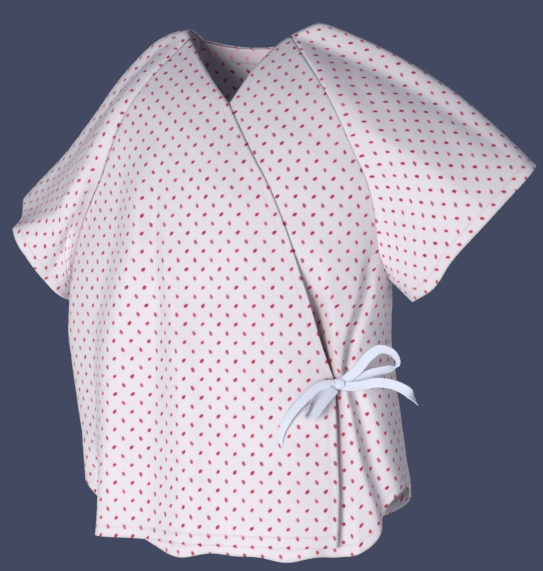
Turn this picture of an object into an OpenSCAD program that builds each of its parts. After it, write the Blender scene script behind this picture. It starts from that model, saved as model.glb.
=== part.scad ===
// Short wrap-front patient gown with raglan sleeves and a side bow, in the shape it has when worn.
// Millimetres, +Z up. The front faces -Y and the wearer's left is +X.
// The origin is the middle of the neck opening, level with the high points of the shoulders.

/* [Body] */
// Front length, from the high shoulder point to the hem
front_length = 698; // [660:1:760]
// Length to the hem at the side seams
side_length = 626; // [600:1:690]
// Length to the hem at the centre back
back_length = 692; // [650:1:740]
// Depth of the front of the body below the bust, measured from the shoulder line
front_depth = 139; // [120:1:160]
// Depth of the back of the body
back_depth = 100; // [85:1:115]
// How far the under front hangs below the outer front
under_drop = 14; // [0:1:30]

/* [Neck and wrap] */
// Half of the neck opening at the high shoulder points
neck_half = 96; // [85:1:105]
// Depth of the V neck below the high shoulder points
v_depth = 117; // [100:1:140]
// Height of the side tie below the high shoulder points
tie_drop = 484; // [440:1:520]
// Distance between the under front and the outer front where they overlap
wrap_gap = 6; // [3:0.5:8]
// Width of the facing behind the front edges and the back neck
facing_w = 18; // [14:1:26]

/* [Sleeves] */
// Left cuff: top point, across and up from the origin
left_tip = [397, -203]; // [-400:1:420]
// Left cuff: lowest point
left_cuff_low = [226, -379]; // [-400:1:420]
// Half depth of the left cuff opening, front to back
left_cuff_half = 52; // [40:1:60]
// How far the front of the left cuff turns outwards, as a share of its depth
left_cuff_turn = 0.4; // [0:0.05:0.6]
// Right cuff: top point
right_tip = [-364, -226]; // [-400:1:420]
// Right cuff: lowest point
right_cuff_low = [-284, -380]; // [-400:1:420]
// Half depth of the right cuff opening, front to back
right_cuff_half = 78; // [60:1:85]
// Share of the sleeve that stays with the shoulder when the arm is lifted
head_share = 0.45; // [0.4:0.01:0.5]

/* [Cloth and tape] */
// Thickness of the panels
cloth_t = 1.8; // [1.4:0.1:2.4]
// Thickness of the facings
facing_t = 1; // [0.8:0.1:1.4]
// Width of the tie tape
tape_w = 13; // [10:0.5:15]
// Thickness of the tie tape
tape_t = 2.4; // [2:0.1:3]

/* [Hidden] */

cotton = [0.93, 0.86, 0.88];
facing_colour = [0.90, 0.80, 0.83];
thread_colour = [0.96, 0.93, 0.94];
tape_colour = [0.92, 0.93, 0.98];

// Profiles of the worn shape as [height, value]: centre front, centre back, side seam and half widths.
front_line = [[-730, -front_depth - 7], [-350, -front_depth], [-260, -front_depth + 7],
    [-190, -front_depth + 21], [-119, -92], [-60, -52], [-29, -24], [0, 0], [10, 2]];
back_line = [[-730, back_depth + 8], [-350, back_depth], [-260, back_depth - 2],
    [-150, back_depth - 12], [-60, 66], [-22, 46], [-10, 28], [0, 0], [10, -2]];
mid_line = [[-730, -22], [-350, -14], [-120, 5], [0, 0], [10, 0]];
left_half = [[-730, 232], [-640, 228], [-573, 218], [-490, 206], [-420, 197], [-350, 199],
    [-270, 212], [-200, 226], [0, 225]];
right_half = [[-730, 230], [-640, 236], [-573, 242], [-490, 256], [-420, 266], [-350, 262],
    [-200, 240], [0, 225]];

// The raglan seams from the armpit (0) to the neck (1): share across the half body, and height.
// On the worn gown the left seam meets the neck further forward than the right one.
left_seam_share = [[0, 1], [0.12, 0.86], [0.28, 0.735], [0.52, 0.58], [0.77, 0.41], [1, 0.17]];
right_seam_share = [[0, 1], [0.12, 0.86], [0.28, 0.735], [0.52, 0.58], [0.77, 0.44], [1, 0.26]];
seam_height = [[0, -350], [0.12, -322], [0.28, -262], [0.52, -196], [0.77, -110], [1, -18]];
back_seam_height = [[0, -350], [0.12, -318], [0.28, -250], [0.52, -170], [0.77, -90], [1, -12]];
// The left neck edge stands this far above a straight line from the seam to the V.
left_neck_bow = 13;
// The wrap edge from the V (0) to the tie (1).
v_share = 0.004;
edge_share = [[0, v_share], [0.2, 0.137], [0.32, 0.219], [0.5, 0.327], [0.72, 0.434], [1, 0.548]];
edge_height = [[0, -v_depth], [0.2, -192], [0.32, -236], [0.5, -301], [0.72, -379], [1, -tie_drop]];
edge_hem_share = 0.50;

// The outer front bends along a line from the centre of the hem to this place on the wrap edge.
fold_t = 0.32;
fold_gap = 0.004;
// Front and back end this share short of the side seam.
side_gap = 0.006;
// Panels stop this far under the raglan and neck seams; sleeves lie this far outside the panels.
seam_gap = 1.5;
sleeve_lift = 2.6;
head_gap = 0.03;

rows = 22;
seam_cols = 10;
neck_cols = 4;
fold_cols = 4;
edge_cols = 11;
ring_n = 2 * seam_cols + neck_cols;
thread_w = 1.2;
thread_t = 0.5;
thread_lift = 2;
hem_allowance = 14;
edge_allowance = 16;

function smooth(t) = let (s = min(1, max(0, t))) s * s * (3 - 2 * s);
function mix(a, b, t) = a + (b - a) * t;
function unit(v) = v / max(norm(v), 1e-9);
function roundness(u) = pow(max(0, 1 - pow(abs(u), 2.4)), 0.5);
function tail(list) = [for (k = [1:len(list) - 1]) list[k]];
function half_at(share, z) = lookup(z, share < 0 ? right_half : left_half);
function seam_at(side, t) = lookup(t, side < 0 ? right_seam_share : left_seam_share);

// A point of the body: share -1 is the right side seam, 0 the centre and 1 the left side seam.
function body_point(share, z, line) =
    let (u = sin(90 * share), mid = lookup(z, mid_line))
    [half_at(share, z) * u, mid + (lookup(z, line) - mid) * roundness(u), z];
// The direction out of the body there, from steps of the share and of the height.
function body_out(share, z, line) =
    let (
        across = body_point(min(1, share + 0.02), z, line) - body_point(max(-1, share - 0.02), z, line),
        upward = body_point(share, z + 3, line) - body_point(share, z - 3, line)
    )
    unit(cross(across, upward));
function front_point(share, z, lift = 0) =
    body_point(share, z, front_line) + (lift == 0 ? [0, 0, 0] : lift * body_out(share, z, front_line));
function back_point(share, z, lift = 0) =
    body_point(share, z, back_line) - (lift == 0 ? [0, 0, 0] : lift * body_out(share, z, back_line));
// The outer front lies over the under front, and meets the back at the right side seam.
function outer_point(share, z, lift = 0) =
    front_point(share, z, lift + wrap_gap * smooth((share + 1) / 0.4));

// The front hem starts to drop this share short of the side seams: later on the left.
function hem_start(share) = share < 0 ? 0.93 : 0.87;
function front_hem(share) =
    -mix(side_length, front_length, smooth((hem_start(share) - abs(share)) / 0.32));
function under_hem(share) = front_hem(share) - under_drop * smooth((1 - share) / 0.3);
function back_hem(share) = -mix(side_length, back_length, smooth((1 - abs(share)) / 0.7));
function edge_at(t) = [lookup(t, edge_share), lookup(t, edge_height)];

// The point at t along the front or back raglan seam (armpit 0, neck 1) of one side.
function front_seam(side, t, lift = 0) =
    let (share = side * seam_at(side, t), z = lookup(t, seam_height))
    side < 0 ? outer_point(share, z, lift) : front_point(share, z, lift);
function back_seam(side, t, lift = 0) =
    back_point(side * seam_at(side, t), lookup(t, back_seam_height), lift);

// A closed sheet of thickness t round a grid of middle points; ring joins the last column to the first.
module sheet(grid, t, ring = false) {
    nr = len(grid);
    nc = len(grid[0]);
    before = [for (j = [0:nc - 1]) ring ? (j + nc - 1) % nc : max(j - 1, 0)];
    after = [for (j = [0:nc - 1]) ring ? (j + 1) % nc : min(j + 1, nc - 1)];
    normals = [for (i = [0:nr - 1]) [for (j = [0:nc - 1])
        unit(cross(grid[min(i + 1, nr - 1)][j] - grid[max(i - 1, 0)][j],
            grid[i][after[j]] - grid[i][before[j]]))]];
    outer = [for (i = [0:nr - 1]) for (j = [0:nc - 1]) grid[i][j] + normals[i][j] * t / 2];
    inner = [for (i = [0:nr - 1]) for (j = [0:nc - 1]) grid[i][j] - normals[i][j] * t / 2];
    n = nr * nc;
    last = ring ? nc - 1 : nc - 2;
    top = [for (i = [0:nr - 2]) for (j = [0:last]) let (a = i * nc + j, b = i * nc + after[j])
        each [[a, a + nc, b + nc], [a, b + nc, b]]];
    bottom = [for (f = top) [f[2] + n, f[1] + n, f[0] + n]];
    low_rim = [for (j = [0:last]) [j, after[j]]];
    high_rim = [for (j = [0:last]) [(nr - 1) * nc + after[j], (nr - 1) * nc + j]];
    left_rim = [for (i = [nr - 1:-1:1]) [i * nc, (i - 1) * nc]];
    right_rim = [for (i = [0:nr - 2]) [i * nc + nc - 1, (i + 1) * nc + nc - 1]];
    rim = ring ? concat(low_rim, high_rim) : concat(low_rim, high_rim, left_rim, right_rim);
    walls = [for (e = rim) each [[e[0], e[1], e[1] + n], [e[0], e[1] + n, e[0] + n]]];
    polyhedron(concat(outer, inner), concat(top, bottom, walls));
}

// A flat tape swept along a route. Each route entry is [point, direction of the tape's width].
module tape(route) {
    sides = 8;
    n = len(route);
    points = [for (k = [0:n - 1])
        let (
            along = unit(route[min(k + 1, n - 1)][0] - route[max(k - 1, 0)][0]),
            flat = unit(cross(along, route[k][1])),
            wide = unit(cross(flat, along))
        )
        for (s = [0:sides - 1]) let (a = 360 * (s + 0.5) / sides)
            route[k][0] + wide * cos(a) * tape_w / 2 / cos(22.5) + flat * sin(a) * tape_t / 2];
    rings = [for (k = [0:n - 2]) for (s = [0:sides - 1])
        let (a = k * sides + s, b = k * sides + (s + 1) % sides)
        each [[a, b, b + sides], [a, b + sides, a + sides]]];
    ends = [for (s = [1:sides - 2]) each [
        [0, s + 1, s],
        [(n - 1) * sides, (n - 1) * sides + s, (n - 1) * sides + s + 1]]];
    color(tape_colour) polyhedron(points, concat(rings, ends));
}

// A grid of [share, height] pairs between a row at the hem and a row at the top, closer near the top.
function between(hem, top) = [for (i = [0:rows]) let (v = 1 - pow(1 - i / rows, 1.6))
    [for (j = [0:len(hem) - 1]) mix(hem[j], top[j], v)]];
function line_up(n, from, to, hem) = [for (k = [0:n]) let (s = mix(from, to, k / n)) [s, hem(s)]];
function lowered(row, d) = [for (p = row) [p[0], p[1] - d]];

// Top edges as rows of [share, height].
function seam_row(side, heights) = [for (k = [0:seam_cols]) let (t = k / seam_cols)
    [side * min(seam_at(side, t), 1 - side_gap), lookup(t, heights)]];
function neck_v_row(side) = [for (k = [0:neck_cols])
    let (t = k / neck_cols, bow = side < 0 ? 0 : left_neck_bow * 4 * t * (1 - t))
    [mix(side * seam_at(side, 1), v_share, t), mix(lookup(1, seam_height), -v_depth, t) + bow]];
function edge_row(n, from, to) = [for (k = [0:n]) edge_at(mix(from, to, k / n))];
function mirrored(row) = [for (p = row) [-p[0], p[1]]];
back_neck_row = [for (k = [0:2 * neck_cols]) let (s = mix(-1, 1, k / (2 * neck_cols)))
    [s * seam_at(s, 1), -24 + 12 * s * s]];

module back_panel() {
    left = seam_row(1, back_seam_height);
    top = concat(seam_row(-1, back_seam_height), tail(back_neck_row),
        tail([for (k = [seam_cols:-1:0]) left[k]]));
    hem = line_up(len(top) - 1, side_gap - 1, 1 - side_gap, function (s) back_hem(s));
    grid = between(hem, lowered(top, seam_gap));
    color(cotton) sheet([for (row = grid) [for (k = [len(row) - 1:-1:0]) back_point(row[k][0], row[k][1])]],
        cloth_t);
}

module right_front_panel() {
    top = concat(seam_row(-1, seam_height), tail(neck_v_row(-1)), tail(edge_row(fold_cols, 0, fold_t)));
    hem = line_up(len(top) - 1, side_gap - 1, 0, function (s) front_hem(s));
    grid = between(hem, lowered(top, seam_gap));
    color(cotton) sheet([for (row = grid) [for (p = row) outer_point(p[0] - fold_gap * (1 + p[0]), p[1])]],
        cloth_t);
}

module right_front_flap() {
    top = edge_row(edge_cols, fold_t, 1);
    hem = line_up(edge_cols, 0, edge_hem_share, function (s) front_hem(s));
    grid = between(hem, lowered(top, seam_gap));
    color(cotton) sheet([for (row = grid) [for (p = row) outer_point(p[0] + fold_gap, p[1])]], cloth_t);
}

module left_front_panel() {
    seam = seam_row(1, seam_height);
    neck = neck_v_row(1);
    top = concat(mirrored([for (k = [edge_cols:-1:0]) edge_row(edge_cols, 0.1, 1)[k]]),
        [for (k = [neck_cols:-1:1]) neck[k]], [for (k = [seam_cols:-1:0]) seam[k]]);
    hem = line_up(len(top) - 1, -edge_hem_share, 1 - side_gap, function (s) under_hem(s));
    grid = between(hem, lowered(top, seam_gap));
    color(cotton) sheet([for (row = grid) [for (p = row) front_point(p[0], p[1])]], cloth_t);
}

// Sleeves. The ring at the body runs from the armpit up the front seam, over the neck and down the back.
function neck_arc(side, t) =
    let (a = front_seam(side, 1, sleeve_lift), b = back_seam(side, 1, sleeve_lift),
        over = [side * neck_half, 0, sleeve_lift])
    (1 - t) * (1 - t) * a + 2 * t * (1 - t) * (2 * over - (a + b) / 2) + t * t * b;
function ring_point(side, k) =
    k < seam_cols ? front_seam(side, k / seam_cols, sleeve_lift)
    : k <= seam_cols + neck_cols ? neck_arc(side, (k - seam_cols) / neck_cols)
    : back_seam(side, (ring_n - k) / seam_cols, sleeve_lift);
function cuff_point(side, k) =
    let (
        tip = side > 0 ? left_tip : right_tip,
        low = side > 0 ? left_cuff_low : right_cuff_low,
        deep = side > 0 ? left_cuff_half : right_cuff_half,
        a = 360 * k / ring_n,
        m = (1 - cos(a)) / 2,
        turn = side > 0 ? left_cuff_turn : 0
    )
    [mix(low[0], tip[0], m) + turn * deep * sin(a), -deep * sin(a), mix(low[1], tip[1], m)];
// How far the sleeve stands out of a straight line between its two ends: most along the top.
// The left sleeve is fullest halfway along, the right one near the shoulder.
left_bulge = [10, 10, 22];
right_bulge = [16, 14, 25];
function fullness(side, r) = side > 0 ? 4 * r * (1 - r) : 256 / 27 * r * pow(1 - r, 3);
function sleeve_bulge(side, k) =
    let (
        m = (1 - cos(360 * k / ring_n)) / 2,
        s = sin(360 * k / ring_n),
        b = side > 0 ? left_bulge : right_bulge
    )
    [side * b[0] * m, -b[1] * s, b[2] * m];
function sleeve_point(side, k, r) =
    mix(ring_point(side, k), cuff_point(side, k), r) + sleeve_bulge(side, k) * fullness(side, r);
function sleeve_grid(side, from, to, n) = [for (i = [n:-1:0]) [for (k = [0:ring_n - 1])
    sleeve_point(side, side > 0 ? k : ring_n - k, mix(from, to, i / n))]];

module sleeve_head(side) {
    color(cotton) sheet(sleeve_grid(side, 0, head_share, 7), cloth_t, true);
}

module sleeve_end(side) {
    color(cotton) sheet(sleeve_grid(side, head_share + head_gap, 1, 7), cloth_t, true);
}

// Facings lie behind the panels, next to the edge.
facing_lift = -(cloth_t + facing_t) / 2 - 1.8;
facing_rows = [1, 0.67, 0.33, 0];
module back_neck_facing() {
    color(facing_colour) sheet([for (w = facing_rows) [for (k = [len(back_neck_row) - 1:-1:0])
        let (p = back_neck_row[k]) back_point(p[0], p[1] - 4 - w * facing_w, facing_lift)]], facing_t);
}
// A facing behind the outer front, from just below a row of edge points down by its reach.
module front_facing(row, reach) {
    color(facing_colour) sheet([for (w = facing_rows) [for (p = row)
        outer_point(p[0] - 0.018, p[1] - 4 - w * reach, facing_lift)]], facing_t);
}
module right_front_facing() {
    neck = neck_v_row(-1);
    front_facing(concat([for (k = [0:5]) mix(neck[0], neck[neck_cols], (k + 0.3) / 6)],
        edge_row(fold_cols, 0.06, fold_t - 0.03)), facing_w * 1.5);
}
module flap_facing() {
    front_facing(edge_row(edge_cols, fold_t + 0.04, 0.985), facing_w * 1.7);
    inner = 0.065;
    outer = 0.012;
    color(facing_colour) sheet([for (w = [0:8])
        let (s = mix(edge_hem_share, lookup(1, edge_share), w / 8),
            z = mix(6 - front_length, -tie_drop - 46, w / 8))
        [for (k = [0:2]) outer_point(s - mix(inner, outer, k / 2), z, facing_lift)]], facing_t);
}
module left_front_facing() {
    neck = neck_v_row(1);
    row = concat(mirrored([for (k = [12:-1:0]) edge_at(mix(0.04, 0.99, k / 12))]),
        [for (k = [0:6]) mix(neck[neck_cols], neck[0], (k + 0.2) / 6.6)]);
    color(facing_colour) sheet([for (w = facing_rows) [for (p = row)
        front_point(p[0] + 0.018, p[1] - 4 - w * facing_w * 1.5, facing_lift - 1.3)]], facing_t);
}

module care_label() {
    color("white") translate(back_point(0, -66, -5)) rotate([14, 0, 0]) cube([38, 0.6, 24], center = true);
}

// A line of stitches: a thin strip that follows a row of surface points.
module thread(low, step = [0, 0, thread_w]) {
    color(thread_colour) sheet([low, [for (p = low) p + step]], thread_t);
}
module outer_hem_thread(from, to) {
    thread([for (k = [0:20]) let (s = mix(from, to, k / 20))
        outer_point(s, front_hem(s) + hem_allowance, thread_lift)]);
}
module left_front_hem_thread() {
    thread([for (k = [0:28]) let (s = mix(0.02 - edge_hem_share, 0.97, k / 28))
        front_point(s, under_hem(s) + hem_allowance, -thread_lift)]);
}
module back_hem_thread() {
    thread([for (k = [0:36]) let (s = mix(0.94, -0.94, k / 36))
        back_point(s, back_hem(s) + hem_allowance, thread_lift)]);
}
module back_neck_thread() {
    thread([for (k = [len(back_neck_row) - 1:-1:0]) let (p = back_neck_row[k])
        back_point(p[0], p[1] - 12, thread_lift)]);
}
module right_neck_thread() {
    neck = neck_v_row(-1);
    row = concat([for (k = [0:5]) mix(neck[0], neck[neck_cols], (k + 0.5) / 6)],
        edge_row(fold_cols, 0.04, fold_t - 0.03));
    thread([for (p = row) outer_point(p[0] - 0.03, p[1] - edge_allowance - 4, thread_lift)]);
}
module flap_edge_thread() {
    row = edge_row(edge_cols, fold_t + 0.03, 0.96);
    thread([for (p = row) outer_point(p[0] - 0.03, p[1] - edge_allowance - 4, thread_lift)]);
    side = [for (k = [0:8]) outer_point(mix(edge_hem_share, lookup(1, edge_share), k / 8) - 0.05,
        mix(18 - front_length, -tie_drop - 40, k / 8), thread_lift)];
    thread(side, [-thread_w, 0, 0]);
}
// Two rows beside the raglan seam: shares and heights a little inside the panel's edge.
module raglan_thread(side) {
    inward = 0.03;
    below = 9;
    stations = [for (k = [1:14]) k / 15];
    thread([for (t = stations)
        let (s = side * (seam_at(side, t) - inward), z = lookup(t, seam_height) - below)
        side < 0 ? outer_point(s, z, thread_lift) : front_point(s, z, thread_lift)]);
    thread([for (t = stations)
        back_point(side * (seam_at(side, t) - inward), lookup(t, back_seam_height) - below,
            thread_lift)]);
}
module side_thread(side) {
    thread([for (k = [0:rows]) let (z = mix(4 - side_length, -368, k / rows))
        back_point(side * 0.97, z, thread_lift)], [0, thread_w, 0]);
}
module cuff_thread(side) {
    middle = [side * 290, 0, -270];
    line = [for (k = [0:ring_n - 1]) let (q = side > 0 ? k : ring_n - k, p = sleeve_point(side, q, 0.93))
        p + unit(p - middle) * 3];
    color(thread_colour) sheet([[for (p = line) p + unit([side, 0, -0.9]) * thread_w], line], thread_t, true);
}

// The bow. Route points are measured from the knot; each entry is [point, direction of the tape's width].
knot_at = outer_point(0.565, -tie_drop - 2) + [5, -10, 0];
flap_loop_route = [
    [[-10, 1, -4], [0, 0.3, 1]], [[-18, -5, -10], [0.1, 0, 1]], [[-28, -15, -18], [0.5, -0.3, 1]],
    [[-35, -21, -30], [0.8, -0.6, 0.6]], [[-35, -28, -41], [0.6, -0.8, 0]],
    [[-25, -30, -39], [0.5, -0.6, -0.8]], [[-17, -24, -25], [0.3, -0.4, -1]], [[-10, -15, -11], [0, -0.3, -1]]
];
flap_tail_route = [
    [[-10, -7, 4], [0, 0.4, 1]], [[-24, -18, -4], [0, 0.2, 1]], [[-38, -24, -18], [-0.5, 0.2, 0.9]],
    [[-51, -29, -33], [-0.7, 0.2, 0.6]], [[-64, -31, -52], [-0.9, 0.2, 0.4]], [[-71, -31, -68], [-1, 0.2, 0]],
    [[-73, -29, -86], [-1, 0.1, 0]]
];
side_loop_route = [
    [[10, 4, 5], [-0.4, 0, 1]], [[24, 2, 19], [-0.7, -0.2, 0.7]], [[42, -2, 37], [-0.6, -0.3, 0.7]],
    [[58, -4, 46], [-0.1, -0.5, 0.9]], [[72, 0, 41], [0.6, -0.5, 0.6]], [[76, 8, 29], [0.8, -0.6, -0.1]],
    [[64, 14, 20], [0, -0.7, 0.7]], [[44, 14, 17], [0, -0.5, 0.9]], [[26, 12, 10], [0, -0.2, 1]]
];
side_tail_route = [
    [[11, 3, -8], [0, 0.2, 1]], [[30, -3, -1], [0.1, 0, 1]], [[54, -6, 3], [0, -0.1, 1]],
    [[77, -6, 0], [-0.2, -0.1, 1]], [[95, -4, -9], [-0.4, 0, 0.9]], [[104, 0, -21], [-0.6, 0, 0.8]]
];
function from_knot(route) = [for (e = route) [knot_at + e[0], e[1]]];

module bow_knot() {
    color(tape_colour) translate(knot_at) rotate([0, -8, 20]) scale([1, 0.62, 1]) sphere(d = 15, $fn = 32);
}
module tie_tack(at, turn) {
    color(thread_colour) translate(at) rotate([0, 0, turn]) cube([1.5, 0.8, 12], center = true);
}

back_panel();
right_front_panel();
right_front_flap();
left_front_panel();
sleeve_head(-1);  // right_sleeve_head
sleeve_head(1);  // left_sleeve_head
sleeve_end(-1);  // right_sleeve
sleeve_end(1);  // left_sleeve
back_neck_facing();
right_front_facing();
flap_facing();
left_front_facing();
care_label();
back_hem_thread();
outer_hem_thread(-0.97, -0.02);  // right_front_hem_thread
outer_hem_thread(0.02, edge_hem_share - 0.06);  // flap_hem_thread
left_front_hem_thread();
right_neck_thread();
flap_edge_thread();
back_neck_thread();
raglan_thread(-1);  // right_raglan_thread
raglan_thread(1);  // left_raglan_thread
side_thread(-1);  // right_side_thread
side_thread(1);  // left_side_thread
cuff_thread(-1);  // right_cuff_thread
cuff_thread(1);  // left_cuff_thread
tape(from_knot(flap_loop_route));  // flap_tie_loop
tape(from_knot(flap_tail_route));  // flap_tie_tail
tape(from_knot(side_loop_route));  // side_tie_loop
tape(from_knot(side_tail_route));  // side_tie_tail
bow_knot();
tie_tack(outer_point(0.50, -tie_drop - 27, 2.4), 40);  // flap_tie_tack
tie_tack(front_point(0.66, -tie_drop - 4, 2.4), 55);  // side_tie_tack
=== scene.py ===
"""Looks for a short wrap-front patient gown: printed cotton, raglan sleeves and a twill-tape side bow.
Numbers for shapes are in millimetres of the row frame and turn into metres where a mesh is made."""
import math

import bpy
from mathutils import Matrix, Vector
import numpy as np


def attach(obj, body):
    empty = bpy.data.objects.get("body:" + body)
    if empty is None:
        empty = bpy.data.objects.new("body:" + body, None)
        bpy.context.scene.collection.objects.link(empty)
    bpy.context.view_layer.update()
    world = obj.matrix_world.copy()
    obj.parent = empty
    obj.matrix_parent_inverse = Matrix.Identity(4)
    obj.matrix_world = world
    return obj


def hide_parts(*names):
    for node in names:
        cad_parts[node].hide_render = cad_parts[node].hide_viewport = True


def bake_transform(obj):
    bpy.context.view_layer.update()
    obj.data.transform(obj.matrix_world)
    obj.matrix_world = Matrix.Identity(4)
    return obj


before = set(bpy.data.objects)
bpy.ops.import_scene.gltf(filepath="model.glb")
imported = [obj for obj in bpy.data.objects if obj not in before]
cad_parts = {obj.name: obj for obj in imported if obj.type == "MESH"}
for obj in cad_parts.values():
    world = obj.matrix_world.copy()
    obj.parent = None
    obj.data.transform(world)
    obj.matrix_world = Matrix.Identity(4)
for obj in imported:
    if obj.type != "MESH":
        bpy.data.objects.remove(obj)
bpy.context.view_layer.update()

MM = 0.001
CLOTH_T = 0.45

# ---------------------------------------------------------------- camera
AZIMUTH = math.radians(22)
RIGHT = np.array([math.cos(AZIMUTH), math.sin(AZIMUTH), 0])
TOWARD = np.array([math.sin(AZIMUTH), -math.cos(AZIMUTH), 0])
camera_data = bpy.data.cameras.new("camera")
camera_data.lens = 114
camera_data.sensor_width = 36
camera = bpy.data.objects.new("camera", camera_data)
camera.location = RIGHT * 0.0235 + np.array([0, 0, -0.359]) + TOWARD * 2.5
camera.rotation_euler = (math.radians(90), 0, AZIMUTH)
bpy.context.collection.objects.link(camera)
bpy.context.scene.camera = camera

# ---------------------------------------------------------------- the worn shape, as in the CAD
FRONT_LENGTH, SIDE_LENGTH, BACK_LENGTH, UNDER_DROP = 698, 626, 692, 14
FRONT_DEPTH, BACK_DEPTH = 139, 100
NECK_HALF, V_DEPTH, TIE_DROP, WRAP_GAP = 96, 117, 484, 6
FRONT_LINE = [(-730, -FRONT_DEPTH - 7), (-350, -FRONT_DEPTH), (-260, -FRONT_DEPTH + 7),
              (-190, -FRONT_DEPTH + 21), (-119, -92), (-60, -52), (-29, -24), (0, 0), (10, 2)]
BACK_LINE = [(-730, BACK_DEPTH + 8), (-350, BACK_DEPTH), (-260, BACK_DEPTH - 2), (-150, BACK_DEPTH - 12),
             (-60, 66), (-22, 46), (-10, 28), (0, 0), (10, -2)]
MID_LINE = [(-730, -22), (-350, -14), (-120, 5), (0, 0), (10, 0)]
LEFT_HALF = [(-730, 232), (-640, 228), (-573, 218), (-490, 206), (-420, 197), (-350, 199), (-270, 212),
             (-200, 226), (0, 225)]
RIGHT_HALF = [(-730, 230), (-640, 236), (-573, 242), (-490, 256), (-420, 266), (-350, 262), (-200, 240),
              (0, 225)]
SEAM_SHARE = {1: [(0, 1), (0.12, 0.86), (0.28, 0.735), (0.52, 0.58), (0.77, 0.41), (1, 0.17)],
              -1: [(0, 1), (0.12, 0.86), (0.28, 0.735), (0.52, 0.58), (0.77, 0.44), (1, 0.26)]}
SEAM_HEIGHT = [(0, -350), (0.12, -322), (0.28, -262), (0.52, -196), (0.77, -110), (1, -18)]
BACK_SEAM_HEIGHT = [(0, -350), (0.12, -318), (0.28, -250), (0.52, -170), (0.77, -90), (1, -12)]
NECK_BOW = {1: 13, -1: 0}
V_SHARE, EDGE_HEM_SHARE = 0.004, 0.50
EDGE_SHARE = [(0, V_SHARE), (0.2, 0.137), (0.32, 0.219), (0.5, 0.327), (0.72, 0.434), (1, 0.548)]
EDGE_HEIGHT = [(0, -V_DEPTH), (0.2, -192), (0.32, -236), (0.5, -301), (0.72, -379), (1, -TIE_DROP)]
# Cuffs: the highest and the lowest point (across, up), half depth, turn, and how far the sleeve bellies out.
CUFF = {1: ((397, -203), (226, -379), 52, 0.4, (10, 10, 22)),
        -1: ((-364, -226), (-284, -380), 78, 0, (16, 14, 25))}


def smooth(t):
    t = np.clip(t, 0, 1)
    return t * t * (3 - 2 * t)


def mix(a, b, t):
    return a + (b - a) * t


def unit(v):
    return v / np.maximum(np.linalg.norm(v, axis=-1, keepdims=True), 1e-9)


def bump(x, width):
    return np.exp(-(x / width) ** 2)


def look(x, table):
    """Value of a table at x, on a smooth line through its points that doesn't overshoot them."""
    xs, ys = np.array(table, float).T
    h = np.diff(xs)
    d = np.diff(ys) / h
    m = np.zeros_like(ys)
    both = d[:-1] * d[1:]
    m[1:-1] = np.where(both > 0, 2 * both / np.where(both > 0, d[:-1] + d[1:], 1), 0)
    m[0], m[-1] = d[0], d[-1]
    x = np.clip(x, xs[0], xs[-1])
    i = np.clip(np.searchsorted(xs, x, side="right") - 1, 0, len(h) - 1)
    t = (x - xs[i]) / h[i]
    return (ys[i] * (1 + 2 * t) * (1 - t) ** 2 + h[i] * m[i] * t * (1 - t) ** 2
            + ys[i + 1] * t * t * (3 - 2 * t) - h[i] * m[i + 1] * t * t * (1 - t))


def body(share, z, line):
    share, z = np.broadcast_arrays(np.asarray(share, float), np.asarray(z, float))
    half = np.where(share < 0, look(z, RIGHT_HALF), look(z, LEFT_HALF))
    u = np.sin(np.pi / 2 * share)
    mid = look(z, MID_LINE)
    y = mid + (look(z, line) - mid) * np.sqrt(np.maximum(0, 1 - np.abs(u) ** 2.4))
    return np.stack([half * u, y, z], -1)


def body_out(share, z, line):
    across = body(np.minimum(1, share + 0.02), z, line) - body(np.maximum(-1, share - 0.02), z, line)
    upward = body(share, z + 3, line) - body(share, z - 3, line)
    return unit(np.cross(across, upward))


# ---------------------------------------------------------------- folds
def ripple(a, b, seed, size=1.0):
    """Small uneven waves of about one unit over a surface with coordinates a, b in millimetres."""
    total = 0
    for k in range(7):
        turn = 2.4 * (k + seed * 1.7)
        wave = 2 * math.pi / ((46 + 23 * k) * size)
        total = total + np.sin(wave * (a * math.cos(turn) + b * math.sin(turn)) + 5.1 * k + seed) / 7 ** 0.5
    return total


def across_lines(share, z, lines):
    """Height of a fold pattern. Each line is (value, [(z, share), ...]); the value eases between lines."""
    places = [np.interp(z, *np.array(sorted(points), float).T) for value, points in lines]
    values = [value for value, points in lines]
    out = np.zeros_like(share)
    for k in range(len(lines) - 1):
        a, b = places[k], places[k + 1]
        t = (share - a) / np.maximum(b - a, 1e-6)
        va = values[k](z) if callable(values[k]) else values[k]
        vb = values[k + 1](z) if callable(values[k + 1]) else values[k + 1]
        out = np.where((t >= 0) & (t < 1), mix(va, vb, smooth(t)), out)
    return out


OUTER_LINES = [
    (0, [(0, -1)]),
    (5, [(-250, -.93), (-700, -.90)]),
    (lambda z: -13 - 20 * smooth((-560 - z) / 130),
     [(-204, -.47), (-300, -.475), (-600, -.67), (-700, -.73)]),
    (10, [(-204, -.29), (-300, -.285), (-600, -.46), (-700, -.53)]),
    (lambda z: -1 - 13 * smooth((-220 - z) / 260), [(-246, -.235), (-378, -.21), (-511, -.25), (-700, -.30)]),
    (lambda z: 1 + 9 * smooth((-220 - z) / 260),
     [(-246, -.200), (-326, -.160), (-411, -.117), (-483, -.085), (-575, -.070), (-700, -.055)]),
    (2, [(-246, -.13), (-411, -.04), (-700, .04)]),
    (4, [(-200, .02), (-300, .10), (-700, .15)]),
    (0, [(-114, .05), (-192, .137), (-236, .219), (-301, .327), (-379, .434), (-484, .548), (-698, .50)]),
    (0, [(0, 1)]),
]


def outer_folds(share, z):
    amount = smooth((-150 - z) / 110)
    return amount * across_lines(share, z, OUTER_LINES)


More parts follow.
